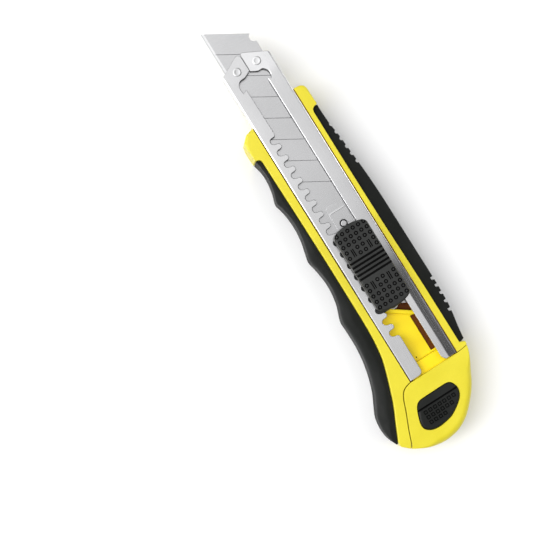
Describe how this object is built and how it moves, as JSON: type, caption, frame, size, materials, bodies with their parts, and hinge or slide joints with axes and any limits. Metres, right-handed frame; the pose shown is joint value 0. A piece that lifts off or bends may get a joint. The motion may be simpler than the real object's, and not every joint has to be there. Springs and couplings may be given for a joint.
{
  "type": "snap off knife",
  "caption": "Utility knife with a steel blade rail, sliding thumb pad that locks in a notched slot, snap-off blade, spare blades inside and a button-released end cap.",
  "frame": {"origin": "on the flat back of the handle, on the oval boss, at the blade rail's centre line", "axes": "+X to the spine side seen from the thumb pad's side, +Y along the rail to the blade tip, +Z out of the thumb pad's side; the knife lies on its back"},
  "size_m": [0.0497, 0.1903, 0.0215],
  "materials": {
    "shell_yellow": "fine moulded satin",
    "grip_black": "matte soft-touch",
    "rail_steel": "satin, polished bends",
    "bed_yellow": "moulded satin",
    "black_plastic": "moulded matte",
    "blade_steel": "ground and honed",
    "spring_steel": "rolled"
  },
  "bodies": {
    "handle": {"handle_shell": "shell_yellow", "rubber_grip": "grip_black", "blade_rail": "rail_steel", "rail_rivet_1": "rail_steel", "rail_rivet_2": "rail_steel", "nose_guide": "bed_yellow", "magazine_bed": "bed_yellow", "magazine_spring": "spring_steel"},
    "slider": {"slider_carrier": "black_plastic", "thumb_pad": "black_plastic", "blade": "blade_steel"},
    "lock": {"lock_spring": "spring_steel"},
    "catch": {"catch_spring": "spring_steel"},
    "spares": {"follower_plate": "black_plastic", "spare_blade_1": "blade_steel", "spare_blade_2": "blade_steel"},
    "tail_cap": {"end_cap": "shell_yellow", "cap_guide": "bed_yellow", "cap_button_spring": "spring_steel"},
    "release": {"cap_button": "black_plastic", "cap_latch": "black_plastic"}
  },
  "joints": [
    {"name": "slider_slide", "type": "slide", "parent": "handle", "child": "slider", "axis": [0, 1, 0], "range_m": [-0.0265, 0.0636]},
    {"name": "lock_snap", "type": "slide", "parent": "slider", "child": "lock", "axis": [-1, 0, 0], "range_m": [0, 0.0012], "stiffness_N_per_m": 1500, "springref_m": 0.0012},
    {"name": "catch_flex", "type": "hinge", "parent": "slider", "child": "catch", "pos_m": [0, -0.0168, 0.01545], "axis": [1, 0, 0], "range_deg": [0, 1.2], "stiffness_Nm_per_rad": 1.3},
    {"name": "magazine_lift", "type": "slide", "parent": "handle", "child": "spares", "axis": [0, 0, 1], "range_m": [-0.0006, 0], "stiffness_N_per_m": 500, "springref_m": 0.001, "deforming": ["magazine_spring"]},
    {"name": "end_cap_slide", "type": "slide", "parent": "handle", "child": "tail_cap", "axis": [0, -1, 0], "range_m": [0, 0.03]},
    {"name": "cap_button_press", "type": "slide", "parent": "tail_cap", "child": "release", "axis": [0, 0, -1], "range_m": [0, 0.0015], "stiffness_N_per_m": 1500, "springref_m": -0.0003, "deforming": ["cap_button_spring"]}
  ]
}
